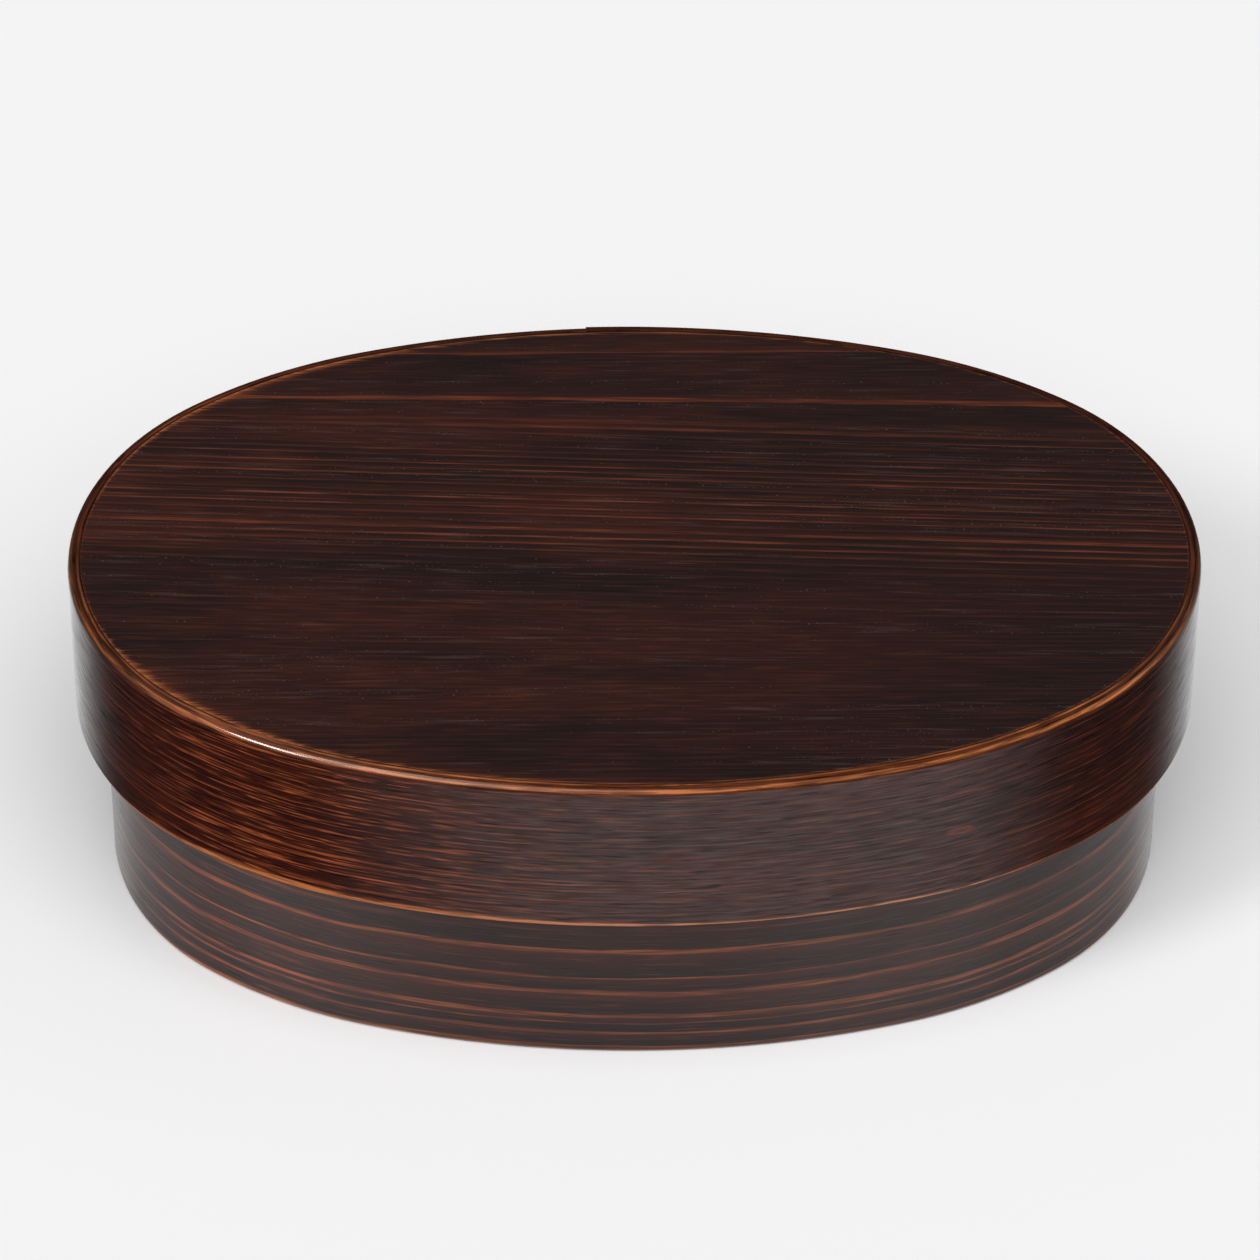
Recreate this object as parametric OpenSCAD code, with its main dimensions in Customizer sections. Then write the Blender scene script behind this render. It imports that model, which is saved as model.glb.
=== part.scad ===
// Oval bentwood food box: a bent body with a bottom board, an overlapping bent lid
// with a top board, bark stitching through both laps, and a loose divider inside.
// Millimetres. Origin at the centre of the oval on the surface it stands on, X along the length.

/* [Size] */
// Length of the lid, outside
length = 180; // [165:1:195]
// Width of the lid, outside
width = 115; // [106:1:124]
// Height with the lid on
height = 60; // [54:0.5:66]
// Height of the lid, outside
lid_height = 28.5; // [24:0.5:32]

/* [Oval] */
// Radius of the two ends
end_radius = 47.5; // [46:0.25:48.5]

/* [Walls] */
// Thickness of the lid's bent side
lid_wall = 3.4; // [3:0.1:4]
// Thickness of the body's bent side
body_wall = 3.4; // [3:0.1:4]
// Room between the lid's inside and the body's outside
lid_room = 1.3; // [1.1:0.1:1.6]
// Thickness of the top and bottom boards
board_thickness = 4; // [3:0.5:5]
// Width of the band's edge left showing round each board
edge_width = 2; // [1.6:0.1:2.2]
// Rounding of the lid's top edge
rim_round = 1.4; // [0.8:0.1:1.6]
// Easing of the other edges
edge_round = 0.8; // [0.5:0.1:1]

/* [Lap] */
// How much wider the outer layer is bent than the side under it, which lifts its free end
lap_spread = 9.25; // [6:0.25:10]
// Distance of the outer layer's free end past the middle of the back
lap_end_x = 7.5; // [4:0.5:12]

/* [Bark stitch] */
// Width of the bark strip
bark_width = 6; // [4:0.5:8]
// Thickness of the bark strip
bark_thickness = 0.5; // [0.4:0.05:0.6]
// How far the bark stands out of the wood
bark_proud = 0.2; // [0.1:0.05:0.25]
// Distance of the lid's stitching from the middle of the back
lid_stitch_x = 5; // [2:1:8]
// Distance of the body's stitching from the middle of the back
body_stitch_x = 15; // [12:1:18]

/* [Divider] */
// Distance of the divider from the middle of the box
divider_x = 24; // [15:1:35]
// Thickness of the divider
divider_thickness = 3.2; // [2.5:0.1:4]
// Gap between the divider's top and the lid
divider_drop = 9; // [4:1:16]
// Room between each end of the divider and the wall
divider_room = 0.3; // [0.3:0.05:0.6]

/* [Hidden] */
$fn = 180;

lacquer = [0.15, 0.10, 0.09];
lacquer_board = [0.19, 0.11, 0.08];
bark = [0.26, 0.13, 0.08];

// A quarter of the oval is three arcs with common tangents. They meet where the outline faces
// along the slopes of a 3-4-5 and a 7-24-25 triangle, so that centres and radii stay round numbers.
to_shoulder = [3, 4] / 5;
to_side = [7, 24] / 25;
half_length = length / 2;
half_width = width / 2;
end_run = half_length - end_radius;
end_rise = half_width - end_radius;
solve_by = to_shoulder[0] * (1 - to_side[1]) - to_side[0] * (1 - to_shoulder[1]);
shoulder_more = (end_run * (1 - to_side[1]) - to_side[0] * end_rise) / solve_by;
side_more = (to_shoulder[0] * end_rise - (1 - to_shoulder[1]) * end_run) / solve_by;
shoulder_radius = end_radius + shoulder_more;
side_radius = shoulder_radius + side_more;
end_c = [end_run, 0];
shoulder_c = end_c - shoulder_more * to_shoulder;
side_c = [0, half_width - side_radius];

function flip_x(v) = [-v[0], v[1]];
function flip_y(v) = [v[0], -v[1]];
function heading(v) = atan2(v[1], v[0]);

// Each arc, anticlockwise: centre, radius of the lid's outside, first and last direction
right_end = [end_c, end_radius, flip_y(to_shoulder), to_shoulder];
right_back = [shoulder_c, shoulder_radius, to_shoulder, to_side];
back = [side_c, side_radius, to_side, flip_x(to_side)];
left_back = [flip_x(shoulder_c), shoulder_radius, flip_x(to_side), flip_x(to_shoulder)];
left_end = [-end_c, end_radius, flip_x(to_shoulder), -to_shoulder];
left_front = [-shoulder_c, shoulder_radius, -to_shoulder, -to_side];
front = [-side_c, side_radius, -to_side, flip_y(to_side)];
right_front = [flip_y(shoulder_c), shoulder_radius, flip_y(to_side), flip_y(to_shoulder)];
arcs = [right_end, right_back, back, left_back, left_end, left_front, front, right_front];

// Insets from the lid's outside, and heights
body_outside = lid_wall + lid_room;
body_inside = body_outside + body_wall;
lid_foot = height - lid_height;
lid_ceiling = height - board_thickness;
board_room = 0.05;
// How far a shape that trims or cuts runs past the wood
run_past = 1;

// Lap: the outer layer leaves the oval at the shoulder and stands proud at its free end
lap_c = side_c - lap_spread * to_side;
lap_radius = side_radius + lap_spread;
under_lap = 3;

// Circular segment of one arc, from its chord outward
module bulge(arc, inset) {
    r = arc[1] - inset;
    intersection() {
        translate(arc[0]) circle(r);
        polygon([arc[0] + r * arc[2], arc[0] + 2 * r * arc[2],
                 arc[0] + 2 * r * arc[3], arc[0] + r * arc[3]]);
    }
}

// Oval plate drawn a set distance inside the lid's outline
module oval(inset) {
    polygon([for (arc = arcs) arc[0] + (arc[1] - inset) * arc[2]]);
    for (arc = arcs) bulge(arc, inset);
}

// Section of a wall: x is zero at its outer face, y is height
module wall(thick, low, high, top_out, top_in, foot) {
    polygon([[-thick + foot, low], [-foot, low], [0, low + foot], [0, high - top_out],
             [-top_out, high], [-thick + top_in, high], [-thick, high - top_in], [-thick, low + foot]]);
    translate([-foot, low + foot]) circle(foot);
    translate([foot - thick, low + foot]) circle(foot);
    translate([-top_out, high - top_out]) circle(top_out);
    translate([top_in - thick, high - top_in]) circle(top_in);
}

// The wall section bent round a centre, from one direction to another, trimmed to a plan outline
over_bend = 6;
module bent(centre, radius, first, last, outline) {
    turn = (heading(last) - heading(first) + 360) % 360;
    intersection() {
        translate(centre)
            rotate_extrude(start = heading(first) - over_bend, angle = turn + 2 * over_bend)
                translate([radius, 0]) children();
        translate([0, 0, -run_past]) linear_extrude(height + 2 * run_past) polygon(outline);
    }
}

// The outer or the inner layer of a wall section, where the band laps over itself
module outer_layer(thick) {
    intersection() {
        children();
        translate([-thick / 2, 0]) square([thick, height]);
    }
}
module inner_layer(thick) {
    intersection() {
        children();
        translate([-thick, 0]) square([thick * 3 / 4, height]);
    }
}

function wedge(arc) = [arc[0], arc[0] + 2 * arc[1] * arc[2], arc[0] + 2 * arc[1] * arc[3]];

// The back's plan from a line across it to the plane where a shoulder begins
function part_of_back(x, centre, radius, shoulder) =
    [[x, 0], [x, width], centre + 2 * radius * shoulder, centre + radius / 2 * shoulder];

// Bent band: the wall section taken round the oval and lapped over itself at the back
module band(inset, thick) {
    first = back[2];
    last = back[3];
    for (arc = arcs) if (arc != back)
        bent(arc[0], arc[1] - inset, arc[2], arc[3], wedge(arc)) children();
    bent(side_c, side_radius - inset, first, last, wedge(back)) inner_layer(thick) children();
    bent(side_c, side_radius - inset, first, last,
         part_of_back(under_lap - lap_end_x, side_c, side_radius, last)) outer_layer(thick) children();
    bent(lap_c, lap_radius - inset, first, last,
         part_of_back(-lap_end_x, lap_c, lap_radius, first)) outer_layer(thick) children();
}

// How far the outer layer stands off the oval at a distance along the back
function back_angle(x) = 90 - asin(x / side_radius);
function proud(x) = lap_spread * (1 - cos(back_angle(x) - heading(to_side)));

// A strip sewn in and out through a row of slits: runs outside between the first and second
// slit, inside between the second and third, and so on, with a tail inside at each end
module running_stitch(inset, thick, x, slits, tails, side_gap, end_gap) {
    wide = bark_width + 2 * side_gap;
    half = bark_thickness / 2 + end_gap;
    out_face = side_radius - inset + proud(x);
    in_face = side_radius - inset - thick;
    sunk = bark_thickness - bark_proud;
    last = len(slits) - 1;
    translate(side_c) rotate(back_angle(x)) {
        for (z = slits)
            translate([in_face - bark_proud, -wide / 2, z - half])
                cube([out_face - in_face + 2 * bark_proud, wide, 2 * half]);
        for (i = [0 : last - 1])
            translate([i % 2 == 0 ? out_face - sunk : in_face - bark_proud, -wide / 2, slits[i] - half])
                cube([bark_thickness, wide, slits[i + 1] - slits[i] + 2 * half]);
        translate([in_face - bark_proud, -wide / 2, tails[0] - end_gap])
            cube([bark_thickness, wide, slits[0] - tails[0] + half + end_gap]);
        translate([in_face - bark_proud, -wide / 2, slits[last] - half])
            cube([bark_thickness, wide, tails[1] - slits[last] + half + end_gap]);
    }
}

// Slit heights, evenly spaced
function spaced(low, high, count) = [for (i = [0 : count - 1]) low + (high - low) * i / (count - 1)];
stitch_margin = 4;
tail = 2.2;
body_slits = spaced(board_thickness + stitch_margin, lid_ceiling - stitch_margin, 8);
lid_slits = spaced(lid_foot + stitch_margin, lid_ceiling - stitch_margin, 4);
body_tails = [body_slits[0] - tail, body_slits[7] + tail];
lid_tails = [lid_slits[0] - tail, lid_slits[3] + tail];
stitch_gap = 0.05;

module body_stitch(side_gap, end_gap) {
    running_stitch(body_outside, body_wall, body_stitch_x, body_slits, body_tails, side_gap, end_gap);
}
module lid_stitch(side_gap, end_gap) {
    running_stitch(0, lid_wall, lid_stitch_x, lid_slits, lid_tails, side_gap, end_gap);
}

module body_band() {
    color(lacquer) difference() {
        band(body_outside, body_wall)
            wall(body_wall, 0, lid_ceiling, edge_round, edge_round, edge_round);
        translate([0, 0, -run_past]) linear_extrude(board_thickness + run_past)
            oval(body_outside + edge_width);
        body_stitch(stitch_gap, stitch_gap);
    }
}

module bottom_board() {
    color(lacquer_board) linear_extrude(board_thickness) oval(body_outside + edge_width + board_room);
}

module body_bark_stitch() {
    color(bark) body_stitch(0, 0);
}

module lid_band() {
    color(lacquer) difference() {
        band(0, lid_wall)
            wall(lid_wall, lid_foot, height, rim_round, edge_round, edge_round);
        translate([0, 0, lid_ceiling]) linear_extrude(board_thickness + run_past) oval(edge_width);
        lid_stitch(stitch_gap, stitch_gap);
    }
}

module lid_board() {
    color(lacquer_board) translate([0, 0, lid_ceiling])
        linear_extrude(board_thickness) oval(edge_width + board_room);
}

module lid_bark_stitch() {
    color(bark) lid_stitch(0, 0);
}

// Half width of the inside at a distance from the middle
shoulder_x = (side_radius - body_inside) * to_side[0];
function inside_y(x) = let (arc = x < shoulder_x ? back : right_back, r = arc[1] - body_inside)
    arc[0][1] + sqrt(r * r - (x - arc[0][0]) * (x - arc[0][0]));
divider_half = inside_y(divider_x + divider_thickness / 2) - divider_room;
divider_top = lid_ceiling - divider_drop;
divider_corner = 4;
divider_foot = 1.5;
divider_ease = 0.8;

module divider_face() {
    y = divider_half;
    r = divider_corner;
    polygon([[-y + divider_foot, board_thickness], [y - divider_foot, board_thickness],
             [y, board_thickness + divider_foot], [y, divider_top - r], [y - r, divider_top],
             [r - y, divider_top], [-y, divider_top - r], [-y, board_thickness + divider_foot]]);
    for (s = [-1, 1]) translate([s * (y - r), divider_top - r]) circle(r);
}

module divider_edge() {
    x = divider_thickness / 2;
    e = divider_ease;
    polygon([[-x, board_thickness], [x, board_thickness], [x, divider_top - e],
             [x - e, divider_top], [e - x, divider_top], [-x, divider_top - e]]);
}

module divider() {
    color(lacquer) translate([divider_x, 0, 0]) intersection() {
        rotate([90, 0, 90]) translate([0, 0, -divider_thickness]) linear_extrude(2 * divider_thickness)
            divider_face();
        rotate([90, 0, 0]) translate([0, 0, -width]) linear_extrude(2 * width) divider_edge();
    }
}

body_band();
bottom_board();
body_bark_stitch();
divider();
lid_band();
lid_board();
lid_bark_stitch();
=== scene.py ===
import math

import bmesh
import bpy
import numpy as np
from mathutils import Matrix, Vector


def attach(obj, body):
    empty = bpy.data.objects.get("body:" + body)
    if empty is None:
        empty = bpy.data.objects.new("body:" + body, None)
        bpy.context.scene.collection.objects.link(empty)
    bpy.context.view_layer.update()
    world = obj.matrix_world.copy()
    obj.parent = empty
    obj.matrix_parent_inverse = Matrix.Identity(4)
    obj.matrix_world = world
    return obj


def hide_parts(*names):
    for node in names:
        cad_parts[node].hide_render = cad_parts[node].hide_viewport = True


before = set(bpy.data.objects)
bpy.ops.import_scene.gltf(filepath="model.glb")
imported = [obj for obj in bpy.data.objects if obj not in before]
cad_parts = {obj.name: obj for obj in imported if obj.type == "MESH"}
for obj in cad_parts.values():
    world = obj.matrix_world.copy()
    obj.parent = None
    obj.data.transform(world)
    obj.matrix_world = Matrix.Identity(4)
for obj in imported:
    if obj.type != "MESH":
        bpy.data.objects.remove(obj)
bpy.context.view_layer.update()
print("frame loaded:", ", ".join(sorted(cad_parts)))

mm = 0.001
fullTurn = 2 * math.pi

# the oval: three arcs a quarter, meeting along 3-4-5 and 7-24-25 slopes
oval = dict(halfLength=90 * mm, halfWidth=57.5 * mm, endRadius=47.5 * mm,
            toShoulder=(0.6, 0.8), toSide=(0.28, 0.96), pointEvery=2.2 * mm, fineSteps=6000)


def unit(angle):
    return np.array([math.cos(angle), math.sin(angle)])


def solveOval(shape):
    # centre and radius of the end, shoulder and side arcs of one quarter
    run = shape["halfLength"] - shape["endRadius"]
    rise = shape["halfWidth"] - shape["endRadius"]
    toShoulder, toSide = shape["toShoulder"], shape["toSide"]
    slopes = np.array([[toShoulder[0], toSide[0]], [1 - toShoulder[1], 1 - toSide[1]]])
    shoulderMore, sideMore = np.linalg.solve(slopes, [run, rise])
    end = np.array([run, 0.0])
    shoulder = end - shoulderMore * np.array(toShoulder)
    shoulderReach = shape["endRadius"] + shoulderMore
    sideReach = shoulderReach + sideMore
    side = np.array([0.0, shape["halfWidth"] - sideReach])
    return [(end, shape["endRadius"]), (shoulder, shoulderReach), (side, sideReach)]


quarter = solveOval(oval)
shoulderTurn = math.atan2(oval["toShoulder"][1], oval["toShoulder"][0])
sideTurn = math.atan2(oval["toSide"][1], oval["toSide"][0])
sideCentre, sideRadius = quarter[2]


def arcFacing(angle):
    # centre and radius of the arc whose outline faces this way
    x, y = unit(angle)
    turn = math.atan2(abs(y), abs(x))
    centre, radius = quarter[0 if turn < shoulderTurn else 1 if turn < sideTurn else 2]
    return centre * np.array([math.copysign(1, x), math.copysign(1, y)]), radius


def outlinePoint(angle, inset=0.0):
    centre, radius = arcFacing(angle)
    return centre + (radius - inset) * unit(angle)


def runAlong(points):
    return np.r_[0, np.cumsum(np.linalg.norm(np.diff(points, axis=0), axis=1))]


def facingSteps(first, last):
    # facing angles from first down to last, evenly spaced along the outline
    fine = np.linspace(first, last, oval["fineSteps"])
    run = runAlong(np.array([outlinePoint(angle) for angle in fine]))
    count = int(run[-1] / oval["pointEvery"]) + 1
    return np.interp(np.linspace(0, run[-1], count), run, fine)


# objects and meshes
smoothBelow = math.radians(35)


def linkNew(name, data):
    obj = bpy.data.objects.new(name, data)
    bpy.context.scene.collection.objects.link(obj)
    return obj


def store(mesh, name, values):
    values = np.asarray(values, np.float32)
    kind, field = ("FLOAT_VECTOR", "vector") if values.ndim == 2 else ("FLOAT", "value")
    mesh.attributes.new(name, kind, "POINT").data.foreach_set(field, values.ravel())


def readFloat(mesh, name):
    out = np.zeros(len(mesh.vertices), np.float32)
    mesh.attributes[name].data.foreach_get("value", out)
    return out


def positions(mesh):
    out = np.zeros(len(mesh.vertices) * 3, np.float32)
    mesh.vertices.foreach_get("co", out)
    return out.reshape(-1, 3)


def faceOutward(mesh):
    bm = bmesh.new()
    bm.from_mesh(mesh)
    bmesh.ops.recalc_face_normals(bm, faces=bm.faces)
    bm.to_mesh(mesh)
    bm.free()


def finishMesh(mesh):
    mesh.shade_smooth()
    mesh.set_sharp_from_angle(angle=smoothBelow)
    print(mesh.name, "made:", len(mesh.vertices), "points")


# node trees, for shaders and geometry alike
nodeGap = (220, 180)


def addNode(tree, kind, **settings):
    node = tree.nodes.new(kind)
    for key, value in settings.items():
        setattr(node, key, value)
    return node


def join(*pairs):
    for start, end in pairs:
        end.id_data.links.new(start, end)


def setInputs(node, **values):
    for name, value in values.items():
        node.inputs[name].default_value = value


def feed(socket, value):
    # a number, a vector, a colour or another node's output
    if isinstance(value, (int, float)):
        socket.default_value = value
    elif isinstance(value, tuple):
        socket.default_value = value if socket.type == "VECTOR" else (*value, 1.0)
    else:
        socket.id_data.links.new(value, socket)


def newTree(name, kind, inputs, outputs):
    # an input is a kind of socket, or the default of a number
    tree = bpy.data.node_groups.new(name, kind + "NodeTree")
    for label, value in inputs.items():
        socketKind = value if isinstance(value, str) else "Float"
        socket = tree.interface.new_socket(label, in_out="INPUT", socket_type="NodeSocket" + socketKind)
        if socketKind != value:
            socket.default_value = value
    for label, socketKind in outputs.items():
        tree.interface.new_socket(label, in_out="OUTPUT", socket_type="NodeSocket" + socketKind)
    return tree, addNode(tree, "NodeGroupInput").outputs, addNode(tree, "NodeGroupOutput").inputs


def arrange(tree):
    # lays the nodes out in columns, each to the right of all that feeds it
    columns, filled = {}, {}

    def columnOf(node):
        if node.name not in columns:
            before = [columnOf(link.from_node) for socket in node.inputs for link in socket.links]
            columns[node.name] = 1 + max(before, default=-1)
        return columns[node.name]

    for node in tree.nodes:
        column = columnOf(node)
        filled[column] = filled.get(column, 0) + 1
        node.location = (nodeGap[0] * column, -nodeGap[1] * filled[column])


def treeOf(values):
    # the tree that the outputs among these values belong to
    return next(value.id_data for value in values if hasattr(value, "id_data"))


def calc(kind, a, b=None, clamp=False):
    node = addNode(treeOf((a, b)), "ShaderNodeMath", operation=kind, use_clamp=clamp)
    feed(node.inputs[0], a)
    if b is not None:
        feed(node.inputs[1], b)
    return node.outputs[0]


def plus(a, b):
    return calc("ADD", a, b)


def minus(a, b):
    return calc("SUBTRACT", a, b)


def times(first, *others):
    for other in others:
        first = calc("MULTIPLY", first, other)
    return first


def timesClamped(a, b):
    return calc("MULTIPLY", a, b, True)


def ramp(value, low, high, toLow=0.0, toHigh=1.0, kind="SMOOTHSTEP"):
    node = addNode(value.id_data, "ShaderNodeMapRange", interpolation_type=kind)
    ends = {"Value": value, "From Min": low, "From Max": high, "To Min": toLow, "To Max": toHigh}
    for name, end in ends.items():
        feed(node.inputs[name], end)
    return node.outputs["Result"]


def fadeOver(value, fade):
    # whole up to the first mark, in mm, and the least from the second one on
    low, high, least = fade
    return ramp(value, low * mm, high * mm, 1.0, least)


def vectorCalc(kind, a, b):
    node = addNode(a.id_data, "ShaderNodeVectorMath", operation=kind)
    feed(node.inputs[0], a)
    feed(node.inputs["Scale" if kind == "SCALE" else 1], b)
    return node.outputs[0]


def combined(*values):
    node = addNode(treeOf(values), "ShaderNodeCombineXYZ")
    for socket, value in zip(node.inputs, values):
        feed(socket, value)
    return node.outputs[0]


def parted(vector):
    node = addNode(vector.id_data, "ShaderNodeSeparateXYZ")
    feed(node.inputs[0], vector)
    return node.outputs


def noise(vector, scale=None, detail=1.0, rough=0.5):
    # scale is in cycles a metre along, across and through the grain
    node = addNode(vector.id_data, "ShaderNodeTexNoise", noise_dimensions="3D")
    feed(node.inputs["Vector"], vectorCalc("MULTIPLY", vector, scale) if scale else vector)
    setInputs(node, Scale=1.0, Detail=detail, Roughness=rough)
    return node.outputs["Fac"]


def mixColour(factor, a, b):
    node = addNode(factor.id_data, "ShaderNodeMix", data_type="RGBA")
    colours = [socket for socket in node.inputs if socket.type == "RGBA"]
    for socket, value in ((node.inputs[0], factor), (colours[0], a), (colours[1], b)):
        feed(socket, value)
    return [socket for socket in node.outputs if socket.type == "RGBA"][0]


def markedCurve(value, marks, handle, top=1.0):
    # a curve through marked places (mm along the value, height)
    first, last = marks[0][0], marks[-1][0]
    node = addNode(value.id_data, "ShaderNodeFloatCurve")
    points = node.mapping.curves[0].points
    for i, (mark, height) in enumerate(marks):
        spot = ((mark - first) / (last - first), height / top)
        inside = 0 < i < len(marks) - 1
        point = points.new(*spot) if inside else points[0 if i == 0 else len(points) - 1]
        point.location = spot
        point.handle_type = handle
    node.mapping.update()
    feed(node.inputs["Value"], calc("DIVIDE", minus(value, first * mm), (last - first) * mm, True))
    return times(node.outputs["Value"], float(top))


# shader groups shared by the lacquered pieces and the bark
# noise as scale, detail and roughness; the rest in shares of a ring, from, to and what the ends give
ringLook = dict(drift=((9, 26, 1), 1.5), waver=((60, 1300, 1300), 1.5), waverSize=0.24,
                tone=((16, 70, 20), 3, 0.6), uneven=0.57, unevenSeed=3.1, unevenSize=2.0,
                lineStart=0.86, startVaries=0.24, lineSoft=0.1, lineDrop=(0.94, 1.0, 1.0, 0.0),
                innerRise=(0.38, 0.46), innerFall=(0.49, 0.54, 1.0, 0.0), innerShare=(0.35, 0.9, 0.0, 0.7),
                heldBelow=0.3, heldAbove=0.4, heldTo=(0.15, 1.0), warmPower=2.2,
                startDraw=(1.37, 51.3), innerDraw=(2.11, 17.9), heldDraw=1.0, heldSeed=7.7,
                fadeAlong=22.0, fadeStep=3.7, fadeDetail=2.5, fade=(0.3, 0.66, 0.45, 1.3))


def makeGrowthRings(look):
    # growth rings: each one warms slowly across the grain and ends in a sharp line
    tree, given, result = newTree(
        "growthRings", "Shader", dict(Grain="Vector", Ring=0.0, Drift=0.4, Jitter=0.4, Break=0.4, Seed=0.0),
        dict(Line="Float", Warm="Float", Tone="Float"))
    grain, seed = given["Grain"], given["Seed"]
    moved = vectorCalc("ADD", grain, combined(0.0, 0.0, seed))

    def sway(wave, size):
        return times(minus(noise(moved, *wave), 0.5), size)

    ring = plus(given["Ring"], sway(look["drift"], given["Drift"]))
    ring = plus(ring, sway(look["waver"], look["waverSize"]))
    uneven = addNode(tree, "ShaderNodeTexNoise", noise_dimensions="1D")
    feed(uneven.inputs["W"], plus(times(ring, look["uneven"]), times(seed, look["unevenSeed"])))
    setInputs(uneven, Scale=1.0, Detail=1.0)
    shift = times(minus(uneven.outputs["Fac"], 0.5), given["Jitter"], look["unevenSize"])
    ring = plus(ring, shift)
    cell, share = calc("FLOOR", ring), calc("FRACT", ring)

    def draw(step, more):
        # a random number for each ring
        node = addNode(tree, "ShaderNodeTexWhiteNoise", noise_dimensions="1D")
        feed(node.inputs["W"], plus(times(cell, step), more))
        return node.outputs["Value"]

    # a sharp line ends the ring, and some rings carry a fainter one inside
    drop = ramp(share, *look["lineDrop"])
    start = minus(look["lineStart"], times(draw(*look["startDraw"]), look["startVaries"]))
    thin = times(ramp(share, start, plus(start, look["lineSoft"])), drop)
    inner = times(ramp(share, *look["innerRise"]), ramp(share, *look["innerFall"]))
    inner = times(inner, ramp(draw(*look["innerDraw"]), *look["innerShare"]))
    held = ramp(draw(look["heldDraw"], times(seed, look["heldSeed"])),
                minus(given["Break"], look["heldBelow"]), plus(given["Break"], look["heldAbove"]),
                *look["heldTo"])
    spot = combined(times(parted(grain)[0], look["fadeAlong"]), times(cell, look["fadeStep"]))
    fade = ramp(noise(spot, detail=look["fadeDetail"]), *look["fade"])
    line = times(calc("MAXIMUM", thin, inner), times(held, fade))
    slope = times(calc("POWER", share, look["warmPower"]), drop)
    join((line, result["Line"]), (times(slope, held), result["Warm"]),
         (noise(moved, *look["tone"]), result["Tone"]))
    arrange(tree)
    return tree


# the specks and the sheen on the fibre are painted glints, pale pinpoints standing in for light caught by
# pores and fibre
fibreLook = dict(fibre=((90, 2000, 2000), 1, 0.6), streak=((60, 2200, 2200), 1, 0.62),
                 dash=((130, 1800, 1800), 1), pore=((95, 2500, 2500), 1), poreFrom=0.76, poreMore=0.2,
                 poreSoft=0.1, row=((6, 700, 700), 1), rowFrom=(0.5, 0.62),
                 paintedGlint=((2200, 4200, 4200), 0), paintedGlintFrom=(0.74, 0.82), sheen=(0.52, 0.72, 0.0, 0.22))


def makeFibre(look):
    # fibre, streaks and dashes along the grain, short dark pores, and rows of painted glints: pale pinpoints
    # and a painted sheen on the fibre
    tree, given, result = newTree(
        "woodFibre", "Shader", dict(Grain="Vector", Pores=0.5, Short=1.0),
        dict(Fibre="Float", Streak="Float", Dash="Float", Pore="Float", Speck="Float"))
    grain = vectorCalc("MULTIPLY", given["Grain"], combined(given["Short"], 1.0, 1.0))
    fibre, streak, dash, pore, row, paintedGlint = (
        noise(grain, *look[name]) for name in ("fibre", "streak", "dash", "pore", "row", "paintedGlint"))
    low = minus(look["poreFrom"], times(given["Pores"], look["poreMore"]))
    # painted glints: pale pinpoints, with a painted sheen on the fibre
    glintsAndSheen = calc("MAXIMUM", ramp(paintedGlint, *look["paintedGlintFrom"]), ramp(fibre, *look["sheen"]))
    join((fibre, result["Fibre"]), (streak, result["Streak"]), (dash, result["Dash"]),
         (ramp(pore, low, plus(low, look["poreSoft"])), result["Pore"]),
         (times(glintsAndSheen, ramp(row, *look["rowFrom"])), result["Speck"]))
    arrange(tree)
    return tree


rubLook = dict(patch=((34, 50, 50), 3, 0.6), patchSize=2.0, streak=((100, 2200, 2200), 3, 0.65),
               streakSize=4.0, leastShare=0.1, leastReach=0.01 * mm, power=1.5, wornBy=(0.0, 0.6))


def makeRubbedEdge(look):
    # lacquer rubbed thin beside an edge: long streaks along the grain, broken up
    tree, given, result = newTree(
        "rubbedEdge", "Shader", dict(Grain="Vector", Distance=0.01, Reach=0.001, Wear=0.5, Streak=0.5),
        dict(Mask="Float"))
    patch, streak = (noise(given["Grain"], *look[name]) for name in ("patch", "streak"))
    patchy = times(minus(patch, 0.5), look["patchSize"])
    streaky = times(minus(streak, 0.5), look["streakSize"], given["Streak"])
    share = calc("MAXIMUM", plus(1.0, plus(patchy, streaky)), look["leastShare"])
    reach = times(given["Reach"], times(share, given["Wear"]))
    reach = calc("MAXIMUM", reach, look["leastReach"])
    mask = calc("SUBTRACT", 1.0, calc("DIVIDE", given["Distance"], reach), True)
    mask = calc("POWER", mask, look["power"])
    feed(result["Mask"], times(mask, ramp(given["Wear"], *look["wornBy"])))
    arrange(tree)
    return tree


growthRings = makeGrowthRings(ringLook)
woodFibre = makeFibre(fibreLook)
rubbedEdge = makeRubbedEdge(rubLook)
print("shader groups ready")


def startMaterial(name):
    mat = bpy.data.materials.new(name)
    mat.use_nodes = True
    tree = mat.node_tree
    tree.nodes.clear()
    shader = addNode(tree, "ShaderNodeBsdfPrincipled")
    feed(addNode(tree, "ShaderNodeOutputMaterial").inputs[0], shader.outputs[0])
    return mat, tree, shader


def readAttribute(tree, name, output="Fac"):
    return addNode(tree, "ShaderNodeAttribute", attribute_name=name).outputs[output]


def useGroup(tree, group, **values):
    node = addNode(tree, "ShaderNodeGroup", node_tree=group)
    for name, value in values.items():
        feed(node.inputs[name], value)
    return node.outputs


def addRelief(tree, shader, height, strength, distance):
    bump = addNode(tree, "ShaderNodeBump")
    setInputs(bump, Strength=strength, Distance=distance)
    feed(bump.inputs["Height"], height)
    feed(shader.inputs["Normal"], bump.outputs[0])


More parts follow.
